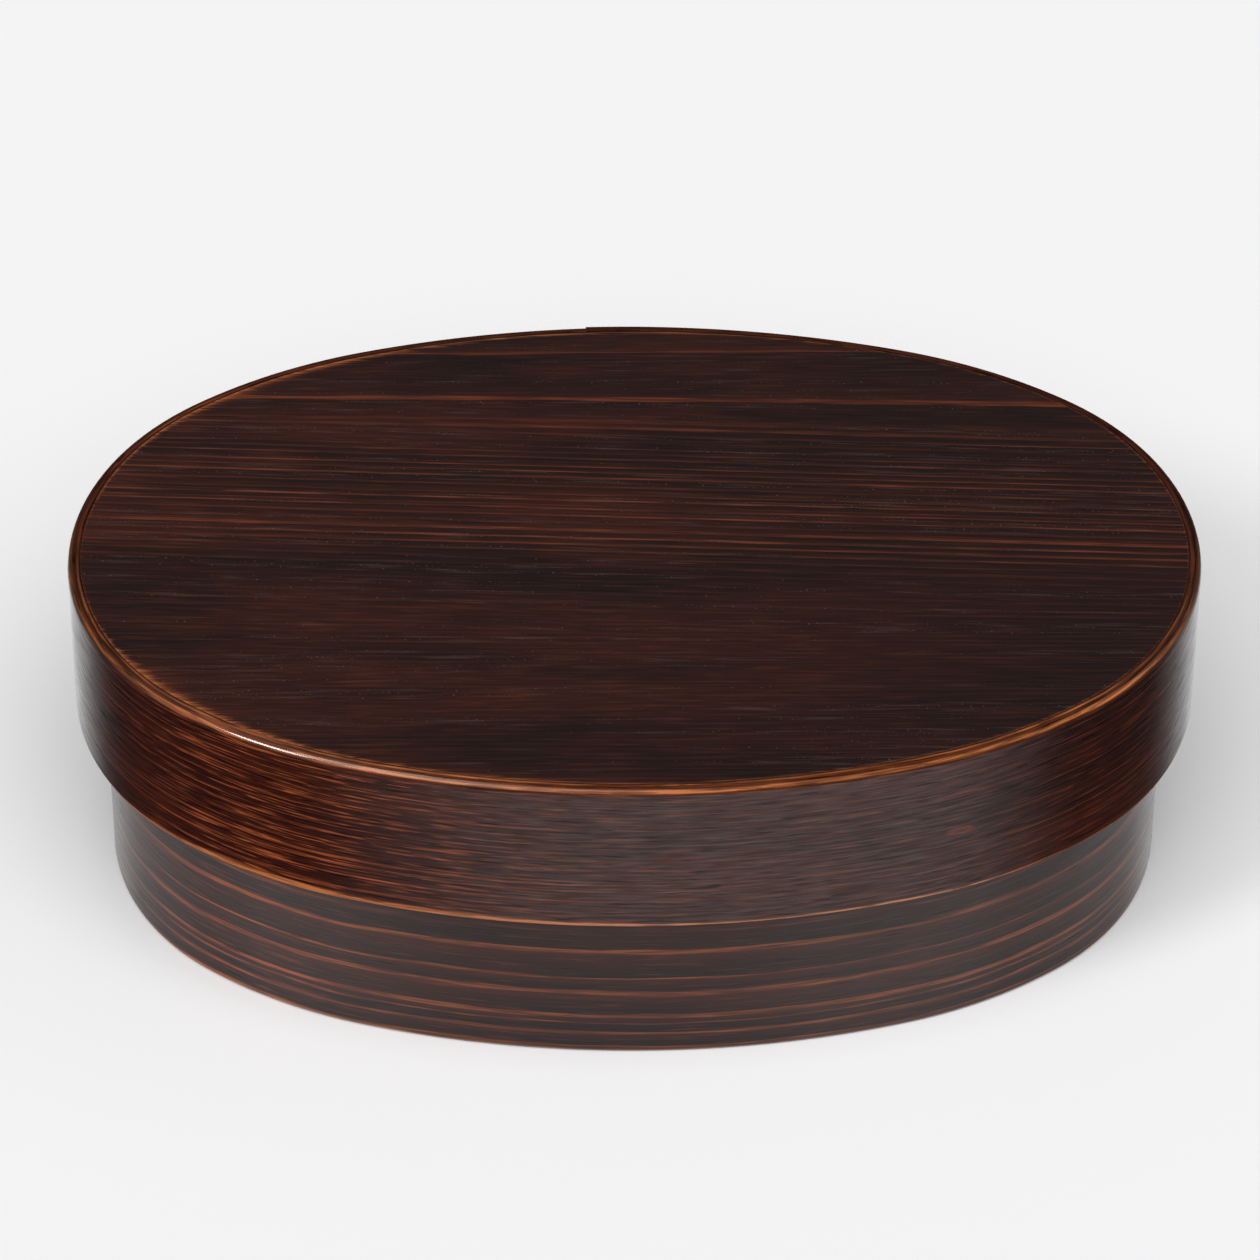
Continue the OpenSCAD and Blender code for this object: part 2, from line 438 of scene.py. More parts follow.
# wiped lacquer, from its dark ground to the wood that shows where it is rubbed; the last, pale grey tone is
# a painted glint
tones = dict(ground=(0.0095, 0.0044, 0.0044), cloud=(0.033, 0.0082, 0.0055), warm=(0.062, 0.0150, 0.0075),
             line=(0.160, 0.036, 0.0130), tan=(0.19, 0.052, 0.019), orange=(0.32, 0.074, 0.024),
             amber=(0.47, 0.152, 0.05), flare=(0.11, 0.021, 0.006), stain=(0.045, 0.004, 0.001),
             pore=(0.0035, 0.002, 0.002), paintedGlint=(0.13, 0.115, 0.11))
# how it takes the grain: value from, value to, and what the two ends give
lacquer = dict(fine=(0.34, 0.68), brokenLeast=0.4, brokenMore=0.95, cloud=(0.38, 0.68), stain=(0.22, 0.45),
               fleck=(0.5, 0.72), lineWarms=(0.4, 1.0), lineStreak=(0.36, 0.6, 0.55, 1.2),
               lineGap=(0.4, 0.58, 0.95, 0.0), streak=(0.52, 0.68), streakDash=(0.4, 0.6, 0.3, 1.2),
               knotEye=(0.1, 0.8, 0.4, 1.0), knotEdge=(0.8, 1.5, 1.0, 0.0), knotPale=0.6,
               wornPore=(0.4, 0.9, 1.0, 1.4), flareFrom=(0.45, 1.1), flareStreak=0.9, flareShare=0.75,
               rimPatch=((40, 300, 300), 3, 0.6), rimPatchTo=(0.3, 0.62, 0.45, 1.0), rimWorn=(0.0, 1.0),
               rimStart=(0.3 * mm, 0.6 * mm), rimEnd=(1.8 * mm, 2.4 * mm),
               coatFibre=(0.36, 0.64, 0.7, 1.1), coatPore=(0.0, 1.0, 1.0, 0.65),
               fineRough=0.1, poreRough=0.15, fibreRise=0.6, poreDip=0.9, lineRise=0.3)


def slantedGrain(grain, slant):
    # on a board the grain runs straight along both edges and slants between them
    along, across, through = parted(grain)
    if slant is None:
        return grain, along, across
    low, high = slant["rise"]
    turn = times(ramp(across, low * mm, high * mm, 0.0, slant["most"]), fadeOver(across, slant["fall"]))
    across = minus(across, times(along, turn))
    return combined(along, across, through), along, across


def readWood(tree, rings, look):
    # what the finish reads from the piece: its grain, rings and fibre, and where it is worn
    grain, along, across = slantedGrain(readAttribute(tree, "grain", "Vector"), rings.get("slant"))
    marks = rings["marks"]
    count = markedCurve(across, marks, "VECTOR", max(ring for _, ring in marks))
    ring = useGroup(tree, growthRings, Grain=grain, Ring=count, Drift=rings["drift"],
                    Jitter=rings["jitter"], Break=rings["gaps"], Seed=rings["seed"])
    fibre = useGroup(tree, woodFibre, Grain=grain, Pores=look["pores"], Short=look["short"])
    fine = ramp(fibre["Fibre"], *lacquer["fine"])
    broken = plus(lacquer["brokenLeast"], times(fine, lacquer["brokenMore"]))
    cloud = times(ramp(ring["Tone"], *lacquer["cloud"]), look["cloud"])
    if "cool" in look:
        cloud = times(cloud, fadeOver(along, look["cool"]))
    calm = fadeOver(across, rings["quiet"]) if "quiet" in rings else 1.0
    return dict(grain=grain, along=along, across=across, ring=ring, fibre=fibre, fine=fine, broken=broken,
                cloud=cloud, calm=calm, edge=readAttribute(tree, "edge"), wear=readAttribute(tree, "wear"))


def layGround(wood, look):
    # broad clouds, the slow warmth of each ring, then fibre and flecks
    colour = mixColour(wood["cloud"], tones["ground"], tones["cloud"])
    if "stain" in look:
        worn = ramp(wood["wear"], *lacquer["stain"], 0.0, look["stain"])
        colour = mixColour(worn, colour, tones["stain"])
    warm = times(wood["ring"]["Warm"], look["warm"], wood["calm"])
    colour = mixColour(warm, colour, tones["warm"])
    colour = mixColour(times(wood["fine"], look["fibre"]), colour, tones["cloud"])
    flecks = ramp(wood["fibre"]["Dash"], *lacquer["fleck"])
    return mixColour(times(flecks, wood["cloud"], look["flecks"]), colour, tones["warm"])


def drawLines(wood, look, colour):
    # the rings' lines and the streaks between, stronger and warmer where the lacquer is worn
    fibre, wear = wood["fibre"], wood["wear"]
    strength = plus(look["lineRest"], times(wear, look["lineWear"]))
    streaky = ramp(fibre["Streak"], *lacquer["lineStreak"])
    line = times(wood["ring"]["Line"], look["line"], wood["calm"], wood["broken"], streaky)
    line = timesClamped(line, strength)
    if "dashed" in look:
        # higher up a side the lines break into dashes
        gaps = ramp(fibre["Dash"], *lacquer["lineGap"])
        gaps = times(gaps, fadeOver(wood["across"], look["dashed"]))
        line = times(line, minus(1.0, gaps))
    streak = times(ramp(fibre["Streak"], *lacquer["streak"]),
                   ramp(fibre["Dash"], *lacquer["streakDash"]), look["streaks"])
    shown = calc("MAXIMUM", line, timesClamped(streak, strength))
    tone = mixColour(ramp(wear, *lacquer["lineWarms"]), tones[look["lineTone"]], tones["orange"])
    return mixColour(shown, colour, tone), line


def addKnot(wood, knot, colour):
    # a pin knot, ringed by paler wood
    ways = zip((wood["along"], wood["across"]), knot["middle"], knot["size"])
    offs = [calc("DIVIDE", minus(way, mid * mm), size * mm) for way, mid, size in ways]
    away = calc("SQRT", plus(*(times(off, off) for off in offs)))
    pale = times(ramp(away, *lacquer["knotEye"]), ramp(away, *lacquer["knotEdge"]),
                 wood["broken"], lacquer["knotPale"])
    return mixColour(pale, colour, tones["line"])


def rubThrough(tree, wood, look, rimMarks, colour):
    # pores first, then bare wood along the edges and painted glints on top
    wear, broken, fibre = wood["wear"], wood["broken"], wood["fibre"]
    dark = times(fibre["Pore"], look["poreDark"], ramp(wear, *lacquer["wornPore"]))
    colour = mixColour(calc("MINIMUM", dark, 1.0), colour, tones["pore"])
    beside = dict(Grain=wood["grain"], Distance=wood["edge"])
    if look["flare"]:
        # a wider reach where the rubbing went furthest, redder than the edge itself
        flare = useGroup(tree, rubbedEdge, Reach=look["flare"] * mm, Streak=lacquer["flareStreak"],
                         Wear=ramp(wear, *lacquer["flareFrom"]), **beside)["Mask"]
        colour = mixColour(times(flare, broken, lacquer["flareShare"]), colour, tones["flare"])
    rubbed = useGroup(tree, rubbedEdge, Reach=look["reach"] * mm, Streak=look["streak"], Wear=wear, **beside)
    bare = times(rubbed["Mask"], look["rub"])
    if rimMarks:
        # the rim's own bands, from the joint with the board out to the side
        patch = ramp(noise(wood["grain"], *lacquer["rimPatch"]), *lacquer["rimPatchTo"])
        worn = ramp(readAttribute(tree, "rimWear"), *lacquer["rimWorn"])
        bands = markedCurve(readAttribute(tree, "rim"), rimMarks, "AUTO")
        bare = calc("MAXIMUM", bare, times(bands, patch, worn))
    colour = mixColour(timesClamped(bare, broken), colour, tones["amber"])
    # painted glints laid over the colour as pale grey pinpoints
    return mixColour(times(fibre["Speck"], look["paintedGlint"]), colour, tones["paintedGlint"])


def layPolish(tree, shader, wood, look, hasRim):
    # polish laid on unevenly, broken by the grain, with its own highlight along a rim
    fibre = wood["fibre"]
    weight = times(readAttribute(tree, "gloss"), ramp(fibre["Fibre"], *lacquer["coatFibre"]),
                   ramp(fibre["Pore"], *lacquer["coatPore"]))
    if hasRim:
        rim = readAttribute(tree, "rim")
        onRim = times(ramp(rim, *lacquer["rimStart"]), ramp(rim, *lacquer["rimEnd"], 1.0, 0.0))
        weight = times(weight, ramp(rim, *lacquer["rimEnd"]))
        weight = calc("MAXIMUM", weight, times(onRim, readAttribute(tree, "polish")))
    feed(shader.inputs["Coat Weight"], weight)
    setInputs(shader, **look["coat"])


def lacqueredWood(name, rings, look, rimMarks=None):
    mat, tree, shader = startMaterial(name)
    wood = readWood(tree, rings, look)
    fibre = wood["fibre"]
    colour, line = drawLines(wood, look, layGround(wood, look))
    if "knot" in look:
        colour = addKnot(wood, look["knot"], colour)
    feed(shader.inputs["Base Color"], rubThrough(tree, wood, look, rimMarks, colour))
    rough = plus(look["roughness"], times(wood["fine"], lacquer["fineRough"]))
    rough = plus(rough, times(fibre["Pore"], lacquer["poreRough"]))
    feed(shader.inputs["Roughness"], rough)
    if "coat" in look:
        layPolish(tree, shader, wood, look, bool(rimMarks))
    height = times(plus(fibre["Fibre"], fibre["Streak"]), lacquer["fibreRise"])
    height = minus(height, times(fibre["Pore"], lacquer["poreDip"]))
    height = plus(height, times(line, lacquer["lineRise"]))
    addRelief(tree, shader, height, look["bump"], look["relief"] * mm)
    setInputs(shader, IOR=look["ior"])
    arrange(tree)
    return mat


# ring marks and reaches in mm: front to back is + to - across a board, and up is - across a side
plainLook = dict(short=1.0, line=1.0, lineTone="line", lineWear=0.4, streaks=0.2, fibre=0.25, flecks=0.3,
                 flare=0.0, streak=0.2, paintedGlint=0.15, bump=0.35, relief=0.12)
boardFinish = lacqueredWood(
    "boardLacquer",
    dict(marks=[(-60, 0), (-51.5, 0.5), (-49.5, 1), (-39.3, 1.5), (-37.3, 2), (-31.2, 2.5), (-29.7, 3),
                (-23.3, 7), (-18.6, 10), (-11.3, 14), (-3.8, 18), (2.9, 22), (17.4, 30), (60, 68)],
         drift=0.35, jitter=0.25, gaps=0.15, seed=3.0, quiet=(-4, 6, 0.2),
         slant=dict(rise=(-48, -26), fall=(2, 36, 0.0), most=0.048)),
    dict(plainLook, cloud=0.95, cool=(-30, 75, 0.15), warm=0.6, lineRest=0.47, fibre=0.15, flecks=0.7,
         reach=1.5, flare=9, streak=1.3, rub=0.6, pores=0.65, poreDark=0.9, paintedGlint=0.6,
         roughness=0.31, bump=0.3, ior=1.385))
lidSideFinish = lacqueredWood(
    "lidSideLacquer",
    dict(marks=[(-62, 0), (-48.5, 9), (-42, 13), (-40.3, 14), (-39, 15), (-36.5, 16), (-34.3, 17),
                (-31.9, 18), (-30, 19)],
         drift=0.7, jitter=0.4, gaps=0.25, seed=5.0),
    dict(plainLook, short=1.5, cloud=0.85, stain=0.35, warm=0.5, line=0.9, lineRest=0.25, lineWear=1.0,
         dashed=(-43, -39, 0.0), streaks=0.6, flecks=0.5, knot=dict(middle=(194.6, -44.5), size=(1.9, 0.75)),
         # the lid side's rub is set high so the line along its foot is part real wear, part painted
         # highlight
         reach=1.2, rub=2.0, pores=0.7, poreDark=0.65, roughness=0.30, bump=1.0, relief=0.45, ior=1.03,
         coat={"Coat Roughness": 0.10, "Coat IOR": 1.6}),
    rimMarks=[(0, 0.05), (0.2, 0.1), (0.42, 0.75), (0.72, 0.12), (1.0, 0.1), (1.3, 0.5), (1.65, 0.95),
              (2.0, 0.3), (2.4, 0.0), (6, 0.0)])
bodySideFinish = lacqueredWood(
    "bodySideLacquer",
    dict(marks=[(-58, 14), (-30.5, 7), (-22.6, 6), (-16.2, 5), (-13.6, 4), (-8.1, 3), (-4.5, 2), (-1.6, 1),
                (3, 0)],
         drift=0.3, jitter=0.1, gaps=-0.35, seed=11.0),
    dict(plainLook, short=1.3, cloud=0.55, warm=1.0, lineTone="tan", lineRest=0.66, reach=1.1, rub=0.8,
         pores=0.55, poreDark=0.75, roughness=0.29, ior=1.37,
         coat={"Coat Roughness": 0.2, "Coat IOR": 1.6}))
dividerFinish = lacqueredWood(
    "dividerLacquer",
    dict(marks=[(-60, 0), (0, 22)], drift=0.5, jitter=0.4, gaps=0.2, seed=21.0),
    dict(plainLook, cloud=0.7, warm=0.7, line=0.9, lineRest=0.8, fibre=0.2, reach=1.2, streak=0.3, rub=0.6,
         pores=0.3, poreDark=0.6, paintedGlint=0.2, roughness=0.31, ior=1.45))

barkLook = dict(ground=(0.13, 0.036, 0.016), dark=(0.055, 0.016, 0.009), band=(0.30, 0.13, 0.058),
                bandEvery=1.9 * mm, bandShare=0.8, mottle=(0.35, 0.7), pores=0.4, roughness=0.26,
                bandRough=0.2, bump=0.5, relief=0.15 * mm, ior=1.35, drift=1.2, jitter=0.5, gaps=0.45,
                seed=2.0)


def cherryBark(name, look):
    # burnished bark with pale bands across the strip
    mat, tree, shader = startMaterial(name)
    grain = readAttribute(tree, "grain", "Vector")
    fibre = useGroup(tree, woodFibre, Grain=grain, Pores=look["pores"])
    ring = useGroup(tree, growthRings, Grain=grain, Drift=look["drift"], Jitter=look["jitter"],
                    Ring=calc("DIVIDE", parted(grain)[1], look["bandEvery"]),
                    Break=look["gaps"], Seed=look["seed"])
    colour = mixColour(ramp(ring["Tone"], *look["mottle"]), look["dark"], look["ground"])
    colour = mixColour(timesClamped(ring["Line"], look["bandShare"]), colour, look["band"])
    feed(shader.inputs["Base Color"], colour)
    feed(shader.inputs["Roughness"], plus(look["roughness"], times(ring["Line"], look["bandRough"])))
    height = plus(times(ring["Line"], look["bandShare"]), fibre["Fibre"])
    addRelief(tree, shader, height, look["bump"], look["relief"])
    setInputs(shader, IOR=look["ior"])
    arrange(tree)
    return mat


barkFinish = cherryBark("cherryBark", barkLook)
print("finishes ready")


# geometry trees for what follows a path
def namedAttribute(tree, name, kind):
    node = addNode(tree, "GeometryNodeInputNamedAttribute", data_type=kind)
    setInputs(node, Name=name)
    return node.outputs["Attribute"]


def finishSweep(tree, sweep, position, finish, end):
    move = addNode(tree, "GeometryNodeSetPosition")
    real = addNode(tree, "GeometryNodeRealizeInstances")
    paint = addNode(tree, "GeometryNodeSetMaterial")
    join((sweep.outputs[0], move.inputs["Geometry"]), (position, move.inputs["Position"]),
         (move.outputs[0], real.inputs[0]), (real.outputs[0], paint.inputs["Geometry"]),
         (finish, paint.inputs["Material"]), (paint.outputs[0], end))
    arrange(tree)
    return tree


def bakeTree(obj, tree, values):
    # runs a node tree on the object and keeps the result as a plain mesh
    modifier = obj.modifiers.new(tree.name, "NODES")
    modifier.node_group = tree
    sockets = {s.name: s.identifier for s in tree.interface.items_tree if s.in_out == "INPUT"}
    for name, value in values.items():
        modifier[sockets[name]] = value
    bpy.context.view_layer.update()
    seen = obj.evaluated_get(bpy.context.evaluated_depsgraph_get())
    mesh = bpy.data.meshes.new_from_object(seen)
    obj.modifiers.clear()
    path = obj.data
    obj.data = mesh
    mesh.name = obj.name
    bpy.data.meshes.remove(path)
    faceOutward(mesh)
    return mesh


def loopMesh(name, points, closed=True):
    mesh = bpy.data.meshes.new(name)
    count = len(points)
    edges = [(i, (i + 1) % count) for i in range(count if closed else count - 1)]
    mesh.from_pydata([tuple(map(float, point)) for point in points], edges, [])
    return mesh


# bent bands: a wall section taken round the oval and lapped over itself at the back
lap = dict(spread=9.25 * mm, endX=7.5 * mm, step=0.03 * mm)
# wear, gloss and polish are soft bumps: facing in degrees, spread and height
lidBand = dict(inset=0.0, wall=3.4 * mm, low=31.5 * mm, high=60 * mm, board=4 * mm, edgeWidth=2 * mm,
               rimRound=1.4 * mm, rimSteps=11, edgeRound=0.8 * mm, ease=0.01 * mm, footRub=(0.02, 0.8),
               leastWear=0.2,
               wear=[(243, 18, 0.85), (275, 24, 0.2), (130, 24, 0.3)],
               gloss=[(277, 20, 0.78), (180, 25, 1.2), (0, 26.4, 1.27), (90, 40, 0.5)],
               rimWear=[(243, 19, 0.72), (274, 21, 0.85), (302, 22, 0.8), (335, 20, 0.2), (206, 22, 0.3),
                        (130, 26, 0.15)],
               polish=[(238, 20, 1.6), (335, 18, 0.6)])
bodyBand = dict(inset=4.7 * mm, wall=3.4 * mm, low=0.0, high=56 * mm, board=4 * mm, edgeWidth=2 * mm,
                rimRound=0.8 * mm, rimSteps=7, edgeRound=0.8 * mm, ease=0.01 * mm, footRub=(0.08, 0.6),
                leastWear=0.2, wear=[(236, 15, 0.7), (240, 60, 0.2)],
                gloss=[(180, 25, 0.75), (0, 26, 1.05), (247, 10, 0.2), (287, 10, 0.2)],
                rimWear=[], polish=[])
# the corners' rub and the rings' lean are shares
bandMesh = dict(wallGaps=[0.3 * mm, 0.7 * mm, 1.4 * mm, 3 * mm, 7 * mm, 14 * mm], cornerSteps=7,
                cornerRub=0.3, glossPower=4, ringLean=0.6)
farOff = 1.0  # metres, for points that the rim's run doesn't reach


def facingSum(angle, bumps, power=2):
    # a higher power drops off faster
    total = 0.0
    for centre, reach, height in bumps:
        away = (math.degrees(angle) - centre + 180) % 360 - 180
        total += height * math.exp(-abs(away / reach) ** power)
    return total


def cornerArc(x, z, radius, first, last, count=bandMesh["cornerSteps"]):
    return [(x + radius * math.cos(a), z + radius * math.sin(a))
            for a in np.radians(np.linspace(first, last, count))]


def spread(start, end):
    # points between two ends, close together near both
    start, end = np.array(start), np.array(end)
    length = np.linalg.norm(end - start)
    near = [gap for gap in bandMesh["wallGaps"] if gap < length / 2]
    marks = near + [length / 2] + [length - gap for gap in reversed(near)]
    return [tuple(start + (end - start) * mark / length) for mark in marks]


def outerFace(band):
    # up from the foot and over the rim, with x zero at the outer face; also gives where the foot rubs
    low, high, rim, foot = (band[key] for key in ("low", "high", "rimRound", "edgeRound"))
    points = cornerArc(-foot, low + foot, foot, -90, 0)
    points += spread((0, low + foot), (0, high - rim))
    points += cornerArc(-rim, high - rim, rim, 0, 90, band["rimSteps"])
    inward, upward = band["footRub"]
    return points, [(-foot * inward, low + foot * upward)]


def lidSection(band):
    # the board sits in the top
    low, high, foot, ease = (band[key] for key in ("low", "high", "edgeRound", "ease"))
    inner, edge, seat = -band["wall"], -band["edgeWidth"], high - band["board"]
    rub = foot * bandMesh["cornerRub"]
    points, rubAt = outerFace(band)
    points += [(edge + ease, high), (edge, high - ease), (edge, seat), (inner, seat)]
    points += spread((inner, seat), (inner, low + foot))
    points += cornerArc(inner + foot, low + foot, foot, 180, 270)
    return points, rubAt + [(inner + rub, low + rub)]


def bodySection(band):
    # the board sits in the foot, and the rim is rounded inside too
    low, high, rim, ease = (band[key] for key in ("low", "high", "rimRound", "ease"))
    inner, edge, seat = -band["wall"], -band["edgeWidth"], low + band["board"]
    rub = rim * bandMesh["cornerRub"]
    points, rubAt = outerFace(band)
    points += cornerArc(inner + rim, high - rim, rim, 90, 180)
    points += spread((inner, high - rim), (inner, seat))
    points += [(inner, seat), (edge, seat), (edge, low + ease), (edge + ease, low)]
    return points, rubAt + [(-rub, high - rub), (inner + rub, high - rub)]


def makeBandTree():
    tree, given, result = newTree(
        "bentBand", "Geometry", dict(Path="Geometry", Section="Object", Wall="Float", Finish="Material"),
        dict(Band="Geometry"))
    section = addNode(tree, "GeometryNodeObjectInfo")
    pathCurve, sectionCurve = (addNode(tree, "GeometryNodeMeshToCurve") for _ in range(2))
    sweep = addNode(tree, "GeometryNodeCurveToMesh")
    join((given["Section"], section.inputs["Object"]), (given["Path"], pathCurve.inputs["Mesh"]),
         (section.outputs["Geometry"], sectionCurve.inputs["Mesh"]),
         (pathCurve.outputs[0], sweep.inputs["Curve"]),
         (sectionCurve.outputs[0], sweep.inputs["Profile Curve"]))
    base, outward = (namedAttribute(tree, name, "FLOAT_VECTOR") for name in ("base", "outward"))
    lift, depth, rise = (namedAttribute(tree, name, "FLOAT") for name in ("lift", "depth", "rise"))
    # the outer half of the wall carries the lap's lift
    outer = ramp(depth, times(given["Wall"], -0.5), 0.0, kind="LINEAR")
    out = vectorCalc("SCALE", outward, plus(times(outer, lift), depth))
    position = vectorCalc("ADD", vectorCalc("ADD", base, out), combined(0.0, 0.0, rise))
    return finishSweep(tree, sweep, position, given["Finish"], result["Band"])


bandTree = makeBandTree()


def lapLift(angle):
    # how far the outer layer stands off the oval, from the shoulder to its free end at the back
    return lap["spread"] * (1 - math.cos(angle - sideTurn)) if angle > sideTurn else 0.0


def rimRun(points, band):
    # way round the section from the joint at the top, out over the rim and down the side
    top = (band["ease"] - band["edgeWidth"], band["high"])
    joint = min(range(len(points)), key=lambda i: math.dist(points[i], top))
    run = [farOff] * len(points)
    run[joint] = run[joint + 1] = 0.0
    for i in range(joint - 1, -1, -1):
        run[i] = run[i + 1] + math.dist(points[i], points[i + 1])
    return run


def bandPath(name, band):
    # the way round the oval, down from the lap's free end, with what changes along it
    lapEnd = math.pi / 2 + math.asin(lap["endX"] / sideRadius)
    angles = facingSteps(lapEnd, lapEnd - fullTurn)
    angles[-1] = lapEnd - fullTurn + lap["step"] / (sideRadius - band["inset"])
    points = np.array([[*outlinePoint(a, band["inset"]), 0.0] for a in angles])
    path = loopMesh(name + "Path", points)
    store(path, "base", points)
    store(path, "outward", [[*unit(a), 0.0] for a in angles])
    store(path, "lift", [lapLift(a) for a in angles])
    store(path, "along", runAlong(points))
    for key in ("wear", "rimWear"):
        store(path, key, [band["leastWear"] + facingSum(a, band[key]) for a in angles])
    store(path, "gloss", [facingSum(a, band["gloss"], bandMesh["glossPower"]) for a in angles])
    store(path, "polish", [facingSum(a, band["polish"]) for a in angles])
    return path


def makeBand(name, band, section, finish):
    points, rubAt = section(band)
    outline = loopMesh(name + "Section", [(x, z, 0.0) for x, z in points])
    store(outline, "depth", [x for x, z in points])
    store(outline, "rise", [z for x, z in points])
    store(outline, "edge", [min(math.dist(point, rub) for rub in rubAt) for point in points])
    store(outline, "rim", rimRun(points, band))
    sectionObj = linkNew(name + "Section", outline)
    obj = linkNew(name, bandPath(name, band))
    mesh = bakeTree(obj, bandTree, {"Section": sectionObj, "Wall": band["wall"], "Finish": finish})
    bpy.data.objects.remove(sectionObj)
    along, depth, rise = (readFloat(mesh, key) for key in ("along", "depth", "rise"))
    store(mesh, "grain", np.c_[along, bandMesh["ringLean"] * depth - rise, depth])
    finishMesh(mesh)
    return obj


lidSide = makeBand("lidSide", lidBand, lidSection, lidSideFinish)
bodySide = makeBand("bodySide", bodyBand, bodySection, bodySideFinish)

# flat boards let into the bands
lidTop = dict(inset=2.05 * mm, low=56 * mm, high=60 * mm, ease=0.01 * mm, leastWear=0.1,
              wear=[(229, 26, 0.68), (270, 20, 0.1), (305, 24, 0.15), (122, 36, 0.65), (30, 40, 0.15)])
boxBottom = dict(inset=6.75 * mm, low=0.0, high=4 * mm, ease=0.01 * mm, leastWear=0.2, wear=[])
boardMesh = dict(loopsIn=[0.4, 0.8, 1.4, 2.4, 4, 7, 12, 20, 30, 38], wearFades=20 * mm)


def makeBoard(name, board, finish):
    # loops of points from the middle of the top, over the edge and back under
    low, high, ease = board["low"], board["high"], board["ease"]
    loopsIn = [loop * mm for loop in boardMesh["loopsIn"]]
    loops = [(inward, high) for inward in reversed(loopsIn)]
    loops += [(ease, high), (0.0, high - ease), (0.0, low + ease), (ease, low)]
    loops += [(inward, low) for inward in loopsIn]
    angles = facingSteps(0, -fullTurn)[:-1]
    count = len(angles)
    points = [(*outlinePoint(a, board["inset"] + inward), z) for inward, z in loops for a in angles]
    faces = []
    for start in range(0, (len(loops) - 1) * count, count):
        for i in range(count):
            after = (i + 1) % count
            faces.append((start + i, start + after, start + count + after, start + count + i))
    faces += [tuple(range(count)), tuple(range((len(loops) - 1) * count, len(loops) * count))]
    mesh = bpy.data.meshes.new(name)
    mesh.from_pydata([tuple(map(float, point)) for point in points], [], faces)
    faceOutward(mesh)
    pos = positions(mesh)
    store(mesh, "grain", np.c_[pos[:, 0], -pos[:, 1], pos[:, 2]])
    store(mesh, "edge", [inward for inward, z in loops for _ in angles])
    rimWear = np.array([facingSum(a, board["wear"]) for a in angles])
    fades = [max(0.0, 1 - inward / boardMesh["wearFades"]) for inward, z in loops]
    store(mesh, "wear", np.concatenate([board["leastWear"] + rimWear * fade for fade in fades]))
    mesh.materials.append(finish)
    finishMesh(mesh)
    return linkNew(name, mesh)


lidBoard = makeBoard("lidTopBoard", lidTop, boardFinish)
bottomBoard = makeBoard("boxBottomBoard", boxBottom, boardFinish)

# bark strips sewn in and out through the laps
bark = dict(width=6 * mm, thick=0.5 * mm, proud=0.2 * mm, margin=4 * mm, tail=2.2 * mm, bend=0.32 * mm,
            bendSteps=5, corner=0.12 * mm, cornerSteps=3)
lidSeam = dict(x=5 * mm, slits=4, low=lidBand["low"], high=lidTop["low"], band=lidBand)
bodySeam = dict(x=15 * mm, slits=8, low=boxBottom["high"], high=bodyBand["high"], band=bodyBand)


def makeBarkTree():
    tree, given, result = newTree(
        "barkStrip", "Geometry", dict(Path="Geometry", Width="Float", Thickness="Float", Bend="Float",
                                      Corner="Float", Sideways="Vector", Finish="Material"),
        dict(Strip="Geometry"))
    where = addNode(tree, "GeometryNodeInputPosition").outputs[0]
    tangent = addNode(tree, "GeometryNodeInputTangent").outputs[0]
    length = addNode(tree, "GeometryNodeSplineParameter").outputs["Length"]

    def rounded(curve, radius, steps):
        node = addNode(tree, "GeometryNodeFilletCurve", mode="POLY")
        node.inputs["Count"].default_value = steps
        join((curve, node.inputs["Curve"]), (radius, node.inputs["Radius"]))
        return node

    def keep(curve, name, kind, value):
        node = addNode(tree, "GeometryNodeStoreNamedAttribute", data_type=kind, domain="POINT")
        setInputs(node, Name=name)
        join((curve, node.inputs["Geometry"]), (value, node.inputs["Value"]))
        return node.outputs["Geometry"]

    line = addNode(tree, "GeometryNodeMeshToCurve")
    join((given["Path"], line.inputs["Mesh"]))
    bends = rounded(line.outputs[0], given["Bend"], bark["bendSteps"])
    bends.inputs["Limit Radius"].default_value = True
    way = keep(bends.outputs[0], "base", "FLOAT_VECTOR", where)
    way = keep(way, "flat", "FLOAT_VECTOR", vectorCalc("CROSS_PRODUCT", tangent, given["Sideways"]))
    way = keep(way, "along", "FLOAT", length)
    section = addNode(tree, "GeometryNodeCurvePrimitiveQuadrilateral", mode="RECTANGLE")
    join((given["Width"], section.inputs["Width"]), (given["Thickness"], section.inputs["Height"]))
    corners = rounded(section.outputs[0], given["Corner"], bark["cornerSteps"])
    sweep = addNode(tree, "GeometryNodeCurveToMesh")
    sweep.inputs["Fill Caps"].default_value = True
    join((way, sweep.inputs["Curve"]),
         (keep(corners.outputs[0], "across", "FLOAT_VECTOR", where), sweep.inputs["Profile Curve"]))
    base, flat, across = (namedAttribute(tree, name, "FLOAT_VECTOR") for name in ("base", "flat", "across"))
    wide, thick, _ = parted(across)
    position = vectorCalc("ADD", base, vectorCalc("SCALE", given["Sideways"], wide))
    position = vectorCalc("ADD", position, vectorCalc("SCALE", flat, thick))
    return finishSweep(tree, sweep, position, given["Finish"], result["Strip"])


barkTree = makeBarkTree()


